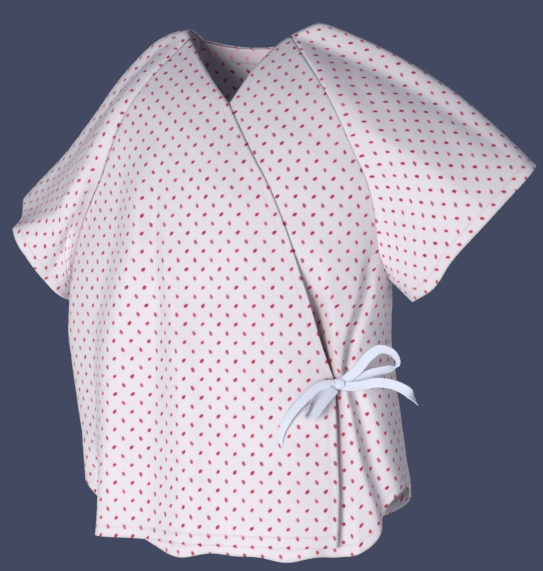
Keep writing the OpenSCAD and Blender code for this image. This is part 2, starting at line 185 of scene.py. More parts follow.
UNDER_LINES = [
    (0, [(0, -1)]),
    (lambda z: -8 - 17 * bump(z + 430, 60), [(-300, .36), (-378, .465), (-462, .53), (-527, .56),
                                             (-675, .52)]),
    (lambda z: 5 + 3 * bump(z + 430, 60),
     [(-300, .52), (-378, .55), (-417, .565), (-471, .560), (-521, .590), (-611, .60), (-676, .60)]),
    (9, [(-300, .72), (-352, .69), (-417, .62), (-471, .575), (-521, .60), (-572, .615), (-611, .635),
         (-676, .70)]),
    (-5, [(-300, .80), (-371, .765), (-417, .685), (-469, .62), (-521, .67), (-611, .72), (-676, .78)]),
    (5, [(-300, .87), (-371, .83), (-417, .74), (-469, .66), (-521, .75), (-611, .82), (-676, .90)]),
    (0, [(0, 1)]),
]


def wrap_edge(z):
    """Share of the outer front's edge at a height."""
    zs = [-FRONT_LENGTH, -TIE_DROP] + [h for t, h in EDGE_HEIGHT[-2::-1]]
    ss = [EDGE_HEM_SHARE] + [s for t, s in EDGE_SHARE[::-1]]
    return np.interp(z, zs, ss)


def under_folds(share, z):
    own = smooth((-290 - z) / 100) * across_lines(share, z, UNDER_LINES)
    beyond = smooth((share - wrap_edge(z) + 0.12) / 0.09)
    return mix(outer_folds(share, z), own, beyond)


def back_folds(share, z):
    wave = 7 * np.cos(np.pi * (2.6 * share + 0.2)) + 4 * np.cos(np.pi * (5.3 * share + 0.1 - z * 0.0006))
    return smooth((-170 - z) / 260) * wave * (1 - np.abs(share) ** 4)


def outer(share, z, lift=0.0):
    share, z = np.broadcast_arrays(np.asarray(share, float), np.asarray(z, float))
    near = smooth((share - wrap_edge(z) + 0.22) / 0.20)
    lift = lift + (WRAP_GAP - 3.2 * near) * smooth((share + 1) / 0.4) + outer_folds(share, z)
    lift = lift + 0.7 * ripple(share * 240, z, 1) * smooth((1 + share) * 6)
    return body(share, z, FRONT_LINE) + lift[..., None] * body_out(share, z, FRONT_LINE)


def under(share, z, lift=0.0):
    share, z = np.broadcast_arrays(np.asarray(share, float), np.asarray(z, float))
    lift = lift + under_folds(share, z) + 0.7 * ripple(share * 240, z, 1) * smooth((1 - share) * 6)
    return body(share, z, FRONT_LINE) + lift[..., None] * body_out(share, z, FRONT_LINE)


def back(share, z, lift=0.0):
    share, z = np.broadcast_arrays(np.asarray(share, float), np.asarray(z, float))
    lift = lift + back_folds(share, z) + 0.7 * ripple(share * 240, z, 2) * smooth((1 - np.abs(share)) * 6)
    return body(share, z, BACK_LINE) - lift[..., None] * body_out(share, z, BACK_LINE)


def front_hem(share):
    start = np.where(np.asarray(share) < 0, 0.93, 0.87)
    return -mix(SIDE_LENGTH, FRONT_LENGTH, smooth((start - np.abs(share)) / 0.32))


def under_hem(share):
    wave = 3.0 * np.sin(14.5 * share + 0.6) + 1.6 * np.sin(31 * share + 2)
    drop = (UNDER_DROP - wave) * smooth((1 - share) / 0.3)
    return front_hem(share) - mix(-8, drop, smooth((share + 0.44) / 0.26))


def back_hem(share):
    return -mix(SIDE_LENGTH, BACK_LENGTH, smooth((1 - np.abs(share)) / 0.7))


def front_seam(side, t, lift=0.0):
    share, z = side * look(t, SEAM_SHARE[side]), look(t, SEAM_HEIGHT)
    return outer(share, z, lift) if side < 0 else under(share, z, lift)


def back_seam(side, t, lift=0.0):
    return back(side * look(t, SEAM_SHARE[side]), look(t, BACK_SEAM_HEIGHT), lift)


# Sleeves: k runs round the ring from the armpit (0) up the front, over the neck (10 to 14)
# and down the back (24).
SEAM_K, NECK_K, RING_K = 10, 4, 24


def neck_arc(side, t):
    a, b = front_seam(side, np.ones_like(t)), back_seam(side, np.ones_like(t))
    over = np.array([side * NECK_HALF, 0, 0])
    t = t[..., None]
    return (1 - t) ** 2 * a + 2 * t * (1 - t) * (2 * over - (a + b) / 2) + t * t * b


def ring(side, k):
    k = np.asarray(k, float)
    first = front_seam(side, np.clip(k / SEAM_K, 0, 1))
    middle = neck_arc(side, np.clip((k - SEAM_K) / NECK_K, 0, 1))
    last = back_seam(side, np.clip((RING_K - k) / SEAM_K, 0, 1))
    pick = k[..., None]
    return np.where(pick < SEAM_K, first, np.where(pick <= SEAM_K + NECK_K, middle, last))


def cuff(side, k):
    tip, low, deep, turn = CUFF[side][:4]
    a = 2 * np.pi * k / RING_K
    m = (1 - np.cos(a)) / 2
    full = 9 * bump(m - 0.13, 0.12) if side > 0 else 0 * m
    return np.stack([mix(low[0], tip[0], m) + turn * deep * np.sin(a) + 0.72 * full, -deep * np.sin(a),
                     mix(low[1], tip[1], m) - 0.7 * full], -1)


def sleeve_base(side, k, r):
    a = 2 * np.pi * k / RING_K
    m = (1 - np.cos(a)) / 2
    belly = CUFF[side][4]
    bulge = np.stack([side * belly[0] * m, -belly[1] * np.sin(a), belly[2] * m], -1)
    r = r[..., None]
    fullness = 4 * r * (1 - r) if side > 0 else 256 / 27 * r * (1 - r) ** 3
    return mix(ring(side, k), cuff(side, k), r) + bulge * fullness


def shelf(k, start, end):
    """One halfway between two places round the sleeve, nothing outside them: flattens the arc."""
    return np.sin(math.pi * np.clip((k - start) / (end - start), 0, 1) ** 0.75) ** 1.2


def sleeve_folds(side, k, r):
    ease = smooth(r / 0.25)
    if side < 0:
        line = look(r, [(0, 5.5), (0.45, 5.2), (0.88, 6.6), (1, 7.2)])
        out = 8 * bump(k - line + 0.9, 1.2) - 20 * shelf(k, line, 12.6)
        out = out - 6 * bump(k - 3.0, 0.8) * smooth((r - 0.1) / 0.4)
    else:
        out = 3 * bump(k - 6.6, 1.3) - 10 * shelf(k, 6.8, 12.8) * bump(r - 0.4, 0.6)
        out = out - 4 * bump(k - 4.6, 1.0) * bump(r - 0.5, 0.4)
    return ease * out


def sleeve(side, k, r, lift=0.0):
    k, r = np.broadcast_arrays(np.asarray(k, float), np.asarray(r, float))
    p = sleeve_base(side, k, r)
    low, high = np.clip(k - 0.15, 0, RING_K), np.clip(k + 0.15, 0, RING_K)
    round_it = sleeve_base(side, high, r) - sleeve_base(side, low, r)
    along = sleeve_base(side, k, np.minimum(1, r + 0.02)) - sleeve_base(side, k, np.maximum(0, r - 0.02))
    out = unit(np.cross(along, round_it)) * side
    ends = smooth(np.minimum(k, RING_K - k) / 1.5)
    fine = 0.8 * ripple(k * 22, r * 200, 3 + side) * smooth(r / 0.2)
    lift = lift + (sleeve_folds(side, k, r) + fine) * ends
    return p + lift[..., None] * out


# ---------------------------------------------------------------- meshes
def new_mesh(name, points, faces, layers=None):
    mesh = bpy.data.meshes.new(name)
    mesh.from_pydata((np.asarray(points) * MM).tolist(), [], faces)
    mesh.update()
    for face in mesh.polygons:
        face.use_smooth = True
    for key, values in (layers or {}).items():
        values = np.asarray(values, np.float32)
        kind = "FLOAT_VECTOR" if values.ndim == 2 else "FLOAT"
        layer = mesh.attributes.new(key, kind, "POINT")
        layer.data.foreach_set("vector" if values.ndim == 2 else "value", values.ravel())
    obj = bpy.data.objects.new(name, mesh)
    bpy.context.collection.objects.link(obj)
    return obj


def grid_faces(rows, cols, flip=False):
    faces = []
    for i in range(rows - 1):
        for j in range(cols - 1):
            a = i * cols + j
            face = (a, a + 1, a + cols + 1, a + cols)
            faces.append(face[::-1] if flip else face)
    return faces


def apply_modifiers(obj):
    depsgraph = bpy.context.evaluated_depsgraph_get()
    mesh = bpy.data.meshes.new_from_object(obj.evaluated_get(depsgraph))
    obj.modifiers.clear()
    old = obj.data
    mesh.name = old.name
    obj.data = mesh
    bpy.data.meshes.remove(old)
    for face in obj.data.polygons:
        face.use_smooth = True


def thicken(obj, thickness):
    solid = obj.modifiers.new("thickness", "SOLIDIFY")
    solid.thickness = thickness * MM
    solid.offset = 0
    apply_modifiers(obj)


# ---------------------------------------------------------------- materials
class Nodes:
    """A material whose nodes are made with short calls."""

    def __init__(self, name):
        self.material = bpy.data.materials.new(name)
        self.material.use_nodes = True
        self.tree = self.material.node_tree
        self.tree.nodes.clear()
        self.out = self.tree.nodes.new("ShaderNodeOutputMaterial")
        self.shader = self.tree.nodes.new("ShaderNodeBsdfPrincipled")
        self.tree.links.new(self.shader.outputs[0], self.out.inputs[0])

    def put(self, kind, *inputs, output=0, **settings):
        node = self.tree.nodes.new("ShaderNode" + kind)
        for key, value in settings.items():
            setattr(node, key, value)
        for k, value in enumerate(inputs):
            self.feed(node.inputs[k], value)
        return node.outputs[output]

    def feed(self, socket, value):
        if value is None:
            return
        if isinstance(value, bpy.types.NodeSocket):
            self.tree.links.new(value, socket)
        else:
            socket.default_value = value

    def math(self, operation, *inputs, clamp=False):
        return self.put("Math", *inputs, operation=operation, use_clamp=clamp)

    def vector(self, operation, *inputs, output=0):
        return self.put("VectorMath", *inputs, operation=operation, output=output)

    def blend(self, share, a, b):
        node = self.tree.nodes.new("ShaderNodeMix")
        node.data_type = "RGBA"
        self.feed(node.inputs[0], share)
        self.feed(node.inputs[6], a)
        self.feed(node.inputs[7], b)
        return node.outputs[2]

    def attribute(self, name, output=1):
        return self.put("Attribute", attribute_name=name, output=output)

    def set(self, **values):
        for key, value in values.items():
            self.feed(self.shader.inputs[key.replace("_", " ")], value)


def srgb(r, g, b):
    def line(c):
        c = c / 255
        return c / 12.92 if c <= 0.04045 else ((c + 0.055) / 1.055) ** 2.4
    return (line(r), line(g), line(b), 1)


PERIOD = 0.024


def drops(n, place, seed, turn, spread):
    """One set of printed drops on a square lattice: where they are, and how far along its drop a point is."""
    cell = n.vector("FLOOR", n.vector("ADD", place, (0.5, 0.5, 0)))
    here = n.vector("SUBTRACT", place, cell)
    noise = n.put("TexWhiteNoise", n.vector("ADD", cell, (seed, seed * 0.37, 0)), output=1,
                  noise_dimensions="3D")
    r1 = n.put("SeparateColor", noise, output=0)
    r2 = n.put("SeparateColor", noise, output=1)
    r3 = n.put("SeparateColor", noise, output=2)
    angle = n.math("MULTIPLY_ADD", n.math("SUBTRACT", r1, 0.5), spread, -turn)
    turned = n.put("VectorRotate", here, (0, 0, 0), (0, 0, 1), angle, rotation_type="Z_AXIS")
    x = n.put("SeparateXYZ", turned, output=0)
    y = n.put("SeparateXYZ", turned, output=1)
    size = n.math("MULTIPLY_ADD", r2, 0.24, 0.86)
    along = n.math("DIVIDE", x, n.math("MULTIPLY", size, 0.128))
    inside = n.math("SQRT", n.math("MAXIMUM", n.math("SUBTRACT", 1.0, n.math("MULTIPLY", along, along)), 0.0))
    half = n.math("MULTIPLY", inside, n.math("MULTIPLY", n.math("MULTIPLY_ADD", along, 0.014, 0.084), size))
    edge = n.math("SUBTRACT", half, n.math("ABSOLUTE", y))
    mask = n.math("MULTIPLY", edge, 70.0, clamp=True)
    far = n.vector("LENGTH", n.vector("MULTIPLY", turned, (5.3, 6.9, 0)), output=1)
    halo = n.math("MULTIPLY_ADD", far, -2.2, 2.5, clamp=True)
    return mask, n.math("MULTIPLY_ADD", along, 0.5, 0.5, clamp=True), r3, halo


def cotton(name, printed=1.0, tint=(232, 226, 231)):
    """Plain-weave cotton with the sprigged print, in the cloth's own flat coordinates."""
    n = Nodes(name)
    flat = n.attribute("cloth")
    place = n.vector("SCALE", flat)
    place.node.inputs[3].default_value = 1 / PERIOD
    ground = n.blend(n.put("TexNoise", flat, None, 9.0, 3.0), srgb(*tint),
                     srgb(tint[0] - 6, tint[1] - 7, tint[2] - 4))
    colour = ground
    if printed:
        mask_a, along_a, rnd_a, halo_a = drops(n, place, 3.1, math.radians(-64), 0.35)
        shifted = n.vector("ADD", place, (0.5, 0.5, 0))
        mask_b, along_b, _, halo_b = drops(n, shifted, 8.7, math.radians(225), 0.25)
        pale = n.math("GREATER_THAN", rnd_a, 0.62)
        shade_a = n.blend(along_a, srgb(98, 50, 74), srgb(182, 90, 116))
        shade_a = n.blend(n.math("MULTIPLY", pale, 0.5), shade_a, srgb(144, 118, 134))
        shade_b = n.blend(along_b, srgb(88, 36, 56), srgb(190, 52, 84))
        halo = n.math("MULTIPLY", n.math("MAXIMUM", halo_a, halo_b), 0.8)
        colour = n.blend(halo, colour, srgb(250, 184, 202))
        colour = n.blend(n.math("MULTIPLY", mask_a, 0.92 * printed), colour, shade_a)
        colour = n.blend(n.math("MULTIPLY", mask_b, 0.95 * printed), colour, shade_b)
    # The yarns: two crossing sets of fine ribs.
    rib = 2 * math.pi / 0.00055
    u = n.put("SeparateXYZ", flat, output=0)
    v = n.put("SeparateXYZ", flat, output=1)
    weave = n.math("MULTIPLY", n.math("SINE", n.math("MULTIPLY", u, rib)),
                   n.math("SINE", n.math("MULTIPLY", v, rib)))
    slub = n.put("TexNoise", flat, None, 420.0, 4.0)
    height = n.math("ADD", n.math("MULTIPLY", weave, 0.5), n.math("MULTIPLY", slub, 1.2))
    # A stitched hem: a shallow groove and slight puckers a little in from the edge.
    edge = n.attribute("edge", output=2)
    groove = n.math("ABSOLUTE", n.math("SUBTRACT", edge, 0.0145))
    groove = n.math("SUBTRACT", 1.0, n.math("MULTIPLY", groove, 420.0, clamp=True))
    band = n.math("LESS_THAN", edge, 0.0145)
    height = n.math("MULTIPLY_ADD", groove, -2.0, height)
    height = n.math("MULTIPLY_ADD", band, 1.2, height)
    # Painted shade: the colour is also darkened along the stitch groove.
    colour = n.blend(n.math("MULTIPLY", groove, 0.25), colour, srgb(205, 180, 192))
    # Painted shade: deep pockets between layers are tinted salmon, standing in for shade and light bounced
    # between the pink layers.
    colour = n.blend(n.attribute("painted_pocket_shade", output=2), colour, srgb(198, 92, 96))
    bumped = n.put("Bump", 0.35, 0.00035, None, height)
    bumped.node.inputs["Height"].default_value = 0
    n.tree.links.new(height, bumped.node.inputs["Height"])
    n.set(Base_Color=colour, Roughness=0.86, Normal=bumped, Sheen_Weight=0.12, Sheen_Roughness=0.5,
          Specular_IOR_Level=0.25)
    return n.material


def twill(name):
    """White twill tape: slanted ribs along the tape's own coordinates."""
    n = Nodes(name)
    flat = n.attribute("cloth")
    u = n.put("SeparateXYZ", flat, output=0)
    v = n.put("SeparateXYZ", flat, output=1)
    slant = n.math("ADD", u, v)
    ribs = n.math("SINE", n.math("MULTIPLY", slant, 2 * math.pi / 0.0011))
    slub = n.put("TexNoise", flat, None, 500.0, 3.0)
    colour = n.blend(n.put("TexNoise", flat, None, 60.0, 2.0), srgb(232, 236, 250), srgb(222, 228, 244))
    colour = n.blend(n.math("MULTIPLY_ADD", ribs, 0.10, 0.10), colour, srgb(200, 206, 226))
    height = n.math("ADD", ribs, n.math("MULTIPLY", slub, 0.8))
    bumped = n.put("Bump", 0.4, 0.0003)
    n.tree.links.new(height, bumped.node.inputs["Height"])
    n.set(Base_Color=colour, Roughness=0.72, Normal=bumped, Sheen_Weight=0.15, Specular_IOR_Level=0.3)
    return n.material


def yarn(name):
    n = Nodes(name)
    where = n.put("TexCoord", output=3)
    twist = n.put("TexNoise", where, None, 900.0, 3.0)
    colour = n.blend(twist, srgb(240, 226, 234), srgb(222, 200, 212))
    bumped = n.put("Bump", 0.5, 0.0002)
    n.tree.links.new(twist, bumped.node.inputs["Height"])
    n.set(Base_Color=colour, Roughness=0.55, Normal=bumped, Sheen_Weight=0.1)
    return n.material


def satin(name):
    n = Nodes(name)
    where = n.put("TexCoord", output=3)
    warp = n.put("TexNoise", n.put("Mapping", where, None, None, (1, 1, 14)), None, 500.0, 3.0)
    colour = n.blend(warp, srgb(244, 244, 246), srgb(226, 226, 232))
    bumped = n.put("Bump", 0.3, 0.0002)
    n.tree.links.new(warp, bumped.node.inputs["Height"])
    n.set(Base_Color=colour, Roughness=0.38, Normal=bumped, Sheen_Weight=0.2)
    return n.material


PRINT = cotton("printed_cotton")
FACING = cotton("facing_cotton", printed=0.25, tint=(233, 218, 225))
TAPE = twill("twill_tape")
THREAD = yarn("sewing_thread")
LABEL = satin("satin_label")

# ---------------------------------------------------------------- ties and bow
TAPE_W, TAPE_T = 12.7, 0.8
KNOT = outer(0.565, -TIE_DROP - 2.0) + np.array([5, -10, 0])
FLAP_LOOP = [
    ((-4, 0, -3), (0, 0.3, 1)), ((-17, -5, -9), (0.1, 0, 1)), ((-28, -15, -18), (0.5, -0.3, 1)),
    ((-35, -21, -30), (0.8, -0.6, 0.6)), ((-35, -28, -41), (0.6, -0.8, 0)),
    ((-25, -30, -39), (0.5, -0.6, -0.8)), ((-16, -21, -25), (0.3, -0.4, -1)), ((-4, -4, -6), (0, -0.3, -1))]
FLAP_TAIL = [
    ((-3, -2, 1), (0, 0.4, 1)), ((-22, -13, -3), (0, 0.2, 1)), ((-38, -24, -18), (-0.5, 0.2, 0.9)),
    ((-51, -29, -33), (-0.7, 0.2, 0.6)), ((-64, -31, -52), (-0.9, 0.2, 0.4)), ((-71, -31, -68), (-1, 0.2, 0)),
    ((-73, -29, -86), (-1, 0.1, 0))]
SIDE_LOOP = [
    ((3, 1, 2), (-0.4, 0, 1)), ((23, 2, 17), (-0.7, -0.2, 0.7)), ((42, -2, 37), (-0.6, -0.3, 0.7)),
    ((58, -4, 46), (-0.1, -0.5, 0.9)), ((72, 0, 41), (0.6, -0.5, 0.6)), ((76, 8, 29), (0.8, -0.6, -0.1)),
    ((64, 14, 20), (0, -0.7, 0.7)), ((44, 13, 15), (0, -0.5, 0.9)), ((24, 8, 7), (0, -0.2, 1)),
    ((4, 2, 0), (0, 0, 1))]
SIDE_TAIL = [
    ((3, 1, -3), (0, 0.2, 1)), ((28, -2, -2), (0.1, 0, 1)), ((54, -6, 3), (0, -0.1, 1)),
    ((77, -6, 0), (-0.2, -0.1, 1)), ((95, -4, -9), (-0.4, 0, 0.9)), ((104, 0, -21), (-0.6, 0, 0.8))]


def spline(values, n):
    """A smooth line through rows of values, with n points."""
    values = np.asarray(values, float)
    run = np.concatenate([[0], np.cumsum(np.linalg.norm(np.diff(values[:, :3], axis=0), axis=1))])
    at = np.linspace(0, run[-1], n)
    tangent = np.gradient(values, run, axis=0)
    i = np.clip(np.searchsorted(run, at, side="right") - 1, 0, len(run) - 2)
    h = (run[i + 1] - run[i])[:, None]
    t = ((at - run[i])[:, None]) / h
    return (values[i] * (1 + 2 * t) * (1 - t) ** 2 + h * tangent[i] * t * (1 - t) ** 2
            + values[i + 1] * t * t * (3 - 2 * t) - h * tangent[i + 1] * t * t * (1 - t))


def tape(name, route, slant=0.0):
    """A flat tape along a route of (point, direction of its width) measured from the knot."""
    rows = spline([list(KNOT + np.array(p)) + list(unit(np.array(w, float))) for p, w in route], 40)
    centre, wide = rows[:, :3], rows[:, 3:]
    along = unit(np.gradient(centre, axis=0))
    flat = unit(np.cross(along, wide))
    wide = unit(np.cross(flat, along))
    run = np.concatenate([[0], np.cumsum(np.linalg.norm(np.diff(centre, axis=0), axis=1))])
    n, cols = len(centre), 9
    across = np.linspace(-1, 1, cols)
    points, place = [], []
    for i in range(n):
        narrow = 1 - 0.25 * math.exp(-run[i] / 7)
        for a in across:
            end = slant * a * smooth((run[i] - run[-1] + 20) / 20)
            cup = 0.5 * (a * a - 0.4)
            points.append(centre[i] + wide[i] * a * TAPE_W / 2 * narrow + flat[i] * cup + along[i] * end)
            place.append((a * TAPE_W / 2 * MM, run[i] * MM, 0))
    obj = new_mesh(name, points, grid_faces(n, cols), {"cloth": place})
    thicken(obj, TAPE_T)
    obj.data.materials.append(TAPE)
    return obj, centre, run[-1]


def declare_tie(name, route, node, body_name, slant=0.0):
    obj, centre, length = tape(name, route, slant)
    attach(obj, body_name)
    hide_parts(node)
    return obj


declare_tie("flap_tie_loop", FLAP_LOOP, "flap_tie_loop", "front_flap")
declare_tie("flap_tie_tail", FLAP_TAIL, "flap_tie_tail", "front_flap", slant=2.0)
declare_tie("side_tie_loop", SIDE_LOOP, "side_tie_loop", "gown_body")
declare_tie("side_tie_tail", SIDE_TAIL, "side_tie_tail", "gown_body", slant=-4.0)


def knot():
    """The bow's knot: one turn of tape pulled tight round the others."""
    turns, cols = 46, 9
    points, place = [], []
    tilt = np.array([[math.cos(0.35), -math.sin(0.35), 0], [math.sin(0.35), math.cos(0.35), 0], [0, 0, 1]])
    for i in range(turns):
        a = 2 * math.pi * i / (turns - 1) * 1.08
        size = 1 + 0.05 * i / (turns - 1)
        for j in range(cols):
            w = -1 + 2 * j / (cols - 1)
            bulge = 1 - 0.34 * w * w
            fold = 1 + 0.06 * math.cos(5 * math.pi * w)
            p = np.array([w * 6.4 + 1.2 * math.sin(a), -5.0 * math.sin(a) * bulge * fold * size,
                          7.0 * math.cos(a) * bulge * fold * size])
            points.append(KNOT + tilt @ p)
            place.append((w * 6.3 * MM, a * 6 * MM, 0))
    obj = new_mesh("bow_knot", points, grid_faces(turns, cols, flip=True), {"cloth": place})
    thicken(obj, TAPE_T)
    obj.data.materials.append(TAPE)
    return obj


knot_piece = knot()
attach(knot_piece, "front_flap")
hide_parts("bow_knot")

# ---------------------------------------------------------------- panels
HEM, TURN = 14, 1.2


def flat_table(surface, side):
    """Flat coordinates of a panel: across from the centre line, and up from the height of the armpit."""
    shares, heights = np.linspace(-1, 1, 121), np.linspace(-730, 10, 149)
    s, z = np.meshgrid(shares, heights)
    p = surface(s, z)
    mid = 60
    step = np.linalg.norm(np.diff(p, axis=1), axis=2)
    u = np.concatenate([np.zeros((len(heights), 1)), np.cumsum(step, axis=1)], axis=1)
    u -= u[:, mid:mid + 1]
    rise = np.linalg.norm(np.diff(p, axis=0), axis=2)
    v = np.concatenate([np.zeros((1, len(shares))), np.cumsum(rise, axis=0)], axis=0)
    v -= v[76:77]

    def find(share, z):
        a = np.clip((share + 1) / 2 * 120, 0, 119.999)
        b = np.clip((z + 730) / 5, 0, 147.999)
        i, j = np.floor(b).astype(int), np.floor(a).astype(int)
        fb, fa = b - i, a - j

        def at(t):
            return ((t[i, j] * (1 - fa) + t[i, j + 1] * fa) * (1 - fb)
                    + (t[i + 1, j] * (1 - fa) + t[i + 1, j + 1] * fa) * fb)
        return np.stack([side * at(u) * MM, at(v) * MM, np.zeros_like(fa)], -1)
    return find


def top_line(kinds, n):
    """Top edge of a panel as n (share, height) points from its parts, each with its share of the points."""
    line = []
    for part, share in kinds:
        count = max(2, int(round(n * share)))
        t = np.linspace(0, 1, count)
        piece = np.array([part(x) for x in t])
        line.append(piece if not line else piece[1:])
    return np.concatenate(line)


def seam_part(side, heights, up=True):
    def at(t):
        t = t if up else 1 - t
        return float(side * look(t, SEAM_SHARE[side])), float(look(t, heights))
    return at


def neck_part(side, up):
    a, b = (side * SEAM_SHARE[side][-1][1], SEAM_HEIGHT[-1][1]), (V_SHARE, -V_DEPTH)

    def at(t):
        t = t if up else 1 - t
        return mix(a[0], b[0], t), mix(a[1], b[1], t) + NECK_BOW[side] * 4 * t * (1 - t)
    return at


def edge_part(start, sign=1, up=False):
    def at(t):
        t = 1 - t if up else t
        t = mix(start, 1, t)
        return float(sign * look(t, EDGE_SHARE)), float(look(t, EDGE_HEIGHT))
    return at


def back_neck_part(t):
    s = mix(-1, 1, t)
    return s * SEAM_SHARE[1 if s > 0 else -1][-1][1], -24 + 12 * s * s


def panel(surface, top, hem_shares, hem, side, rows=104):
    """A panel from its top line and its hem, with the hem turned up inside and the other edges rolled in."""
    cols = len(top)
    share_hem = np.interp(np.linspace(0, 1, cols), np.linspace(0, 1, len(hem_shares)), hem_shares)
    z_hem = hem(share_hem)
    find = flat_table(surface, side)
    t = np.linspace(0, 1, rows)[:, None]
    share = mix(share_hem[None], top[None, :, 0], t)
    z = mix(z_hem[None], top[None, :, 1], t)
    grid = surface(share, z)
    edge = np.minimum(99.0, np.linalg.norm(np.diff(grid, axis=0), axis=2).cumsum(axis=0))
    edge = np.concatenate([np.zeros((1, cols)), edge], axis=0)
    flat = find(share, z)
    # The turned-up hem, from its raw edge down to the fold.
    hem_rows = [(HEM, -TURN - 0.3), (HEM / 2, -TURN), (1.2, -TURN), (0.0, -TURN * 0.55)]
    extra = [surface(share_hem, z_hem + up, lift) for up, lift in hem_rows]
    extra_flat = [find(share_hem, z_hem) + [0, -up * MM, 0] for up, lift in hem_rows]
    rolled = surface(top[:, 0], top[:, 1] - 0.3, -1.0)
    points = np.concatenate([np.array(extra), grid, rolled[None]])
    flats = np.concatenate([np.array(extra_flat), flat, find(top[:, 0], top[:, 1])[None]])
    edges = np.concatenate([np.zeros((4, cols)), edge, np.full((1, cols), 99.0)]) * MM
    return points, flats, edges, share, z


def make_panel(name, data, flip, painted_pocket_shade=None, bound=None):
    points, flats, edges = data[:3]
    if bound is not None:
        # The narrow stitched band along the neck and the wrap edge.
        near = np.min([np.linalg.norm(points - q, axis=2) for q in bound], axis=0)
        edges = np.minimum(edges, 1.45 * near * MM)
    rows, cols = points.shape[:2]
    # Painted pocket shade for each point, zero where none is given.
    painted_pocket_shade = np.zeros((rows, cols)) if painted_pocket_shade is None else np.concatenate(
        [np.repeat(painted_pocket_shade[:1], 4, axis=0), painted_pocket_shade, painted_pocket_shade[-1:]])
    obj = new_mesh(name, points.reshape(-1, 3), grid_faces(rows, cols, flip),
                   {"cloth": flats.reshape(-1, 3), "edge": edges.ravel(), "painted_pocket_shade": painted_pocket_shade.ravel()})
    thicken(obj, CLOTH_T)
    obj.data.materials.append(PRINT)
    return obj


COLS = 132
outer_top = top_line([(seam_part(-1, SEAM_HEIGHT), 0.38), (neck_part(-1, True), 0.17), (edge_part(0), 0.45)],
                     COLS)
outer_data = panel(outer, outer_top, [-1, -0.35, EDGE_HEM_SHARE], front_hem, 1)
outer_bound = np.concatenate([outer(outer_top[50:, 0], outer_top[50:, 1]), outer_data[0][4:-1:2, -1]])
outer_front = make_panel("outer_front", outer_data, False, bound=outer_bound)

under_top = top_line([(edge_part(0.1, -1, up=True), 0.36), (neck_part(1, False), 0.18),
                      (seam_part(1, SEAM_HEIGHT, up=False), 0.46)], COLS)
under_data = panel(under, under_top, [-EDGE_HEM_SHARE, 0.3, 1], under_hem, 1)
share, z = under_data[3], under_data[4]
# Painted pocket shade: a salmon tint along the fold valley above the knot and in the slit below it, where
# shade falls between the layers.
valley = np.interp(z, [-675, -527, -462, -378, -300], [.52, .56, .53, .465, .36])
above = smooth((-320 - z) / 90) * (z > -TIE_DROP) * np.minimum(1, 1.5 * bump(share - valley + 0.02, 0.05))
below = smooth((-TIE_DROP - 6 - z) / 20) * smooth((z + 640) / 60) * bump(share - wrap_edge(z) - 0.01, 0.026)
under_front = make_panel("under_front", under_data, False, 0.3 * np.maximum(above, below),
                         under(under_top[:70, 0], under_top[:70, 1]))

back_top = top_line([(seam_part(-1, BACK_SEAM_HEIGHT), 0.42), (back_neck_part, 0.16),
                     (seam_part(1, BACK_SEAM_HEIGHT, up=False), 0.42)], COLS)
back_data = panel(back, back_top, [-1, 1], back_hem, -1)
back_piece = make_panel("back", back_data, True, bound=back(back_top[55:77, 0], back_top[55:77, 1]))


def relax(flat, grid, rounds=900):
    """Ease flat coordinates until every short step on them is as long as on the worn cloth."""
    flat = flat.copy()
    pairs = []
    for i, j in ((0, 1), (1, 0), (1, 1), (1, -1)):
        a = (slice(0, grid.shape[0] - i), slice(max(0, -j), grid.shape[1] - max(0, j)))
        b = (slice(i, None), slice(max(0, j), grid.shape[1] + min(0, j)))
        pairs.append((a, b, np.linalg.norm(grid[b] - grid[a], axis=2)))
    for _ in range(rounds):
        move = np.zeros_like(flat)
        for a, b, length in pairs:
            way = flat[b] - flat[a]
            now = np.maximum(np.linalg.norm(way, axis=2), 1e-6)
            pull = way * (0.11 * (now - length) / now)[..., None]
            move[a] += pull
            move[b] -= pull
        flat += move
    return flat


def make_sleeve(side, name):
    cols, rows = 121, 46
    k = np.linspace(0, RING_K, cols)
    r = np.linspace(0, 1, rows)
    kk, rr = np.meshgrid(k, r)
    grid = sleeve(side, kk, rr)
    down = np.linalg.norm(np.diff(grid, axis=0), axis=2)
    run = np.concatenate([np.zeros((1, cols)), np.cumsum(down, axis=0)])
    fall = run[-1:] - run
    across = np.cumsum(np.linalg.norm(np.diff(grid, axis=1), axis=2), axis=1)
    u = np.concatenate([np.zeros((rows, 1)), across], axis=1)
    u = u[-1:] * mix(np.clip(u[:1, -1:] / u[-1:, -1:], 1.0, 1.3), 1, rr)
    ridge = cols // 2
    u = (u - u[:, ridge:ridge + 1]) * -side
    flat = relax(np.stack([u, fall], -1), grid)
    flat = np.concatenate([flat, np.zeros((rows, cols, 1))], axis=2) * MM
    one = np.ones(cols)
    inner_rows = [(0.0, -TURN * 0.55, 0.0), (1.2, -TURN, 1.2), (HEM / 2, -TURN, HEM / 2),
                  (HEM, -TURN - 0.3, HEM)]
    length = run[-1]
    extra = [sleeve(side, k, 1 - back_by / length, lift) for back_by, lift, w in inner_rows]
    extra_flat = [flat[-1] + [0, -w * MM, 0] for back_by, lift, w in inner_rows]
    start = sleeve(side, k, one * 0.0015, -1.0)
    points = np.concatenate([start[None], grid, np.array(extra)])
    flats = np.concatenate([flat[:1], flat, np.array(extra_flat)])
    edges = np.concatenate([np.full((1, cols), 99.0), np.minimum(fall, 99.0), np.zeros((4, cols))]) * MM
    # The sleeves get no painted pocket shade.
    obj = new_mesh(name, points.reshape(-1, 3), grid_faces(len(points), cols, side > 0),
                   {"cloth": flats.reshape(-1, 3), "edge": edges.ravel(), "painted_pocket_shade": np.zeros(edges.size)})
    thicken(obj, CLOTH_T)
    obj.data.materials.append(PRINT)
    return obj


left_sleeve = make_sleeve(1, "left_sleeve")
right_sleeve = make_sleeve(-1, "right_sleeve")


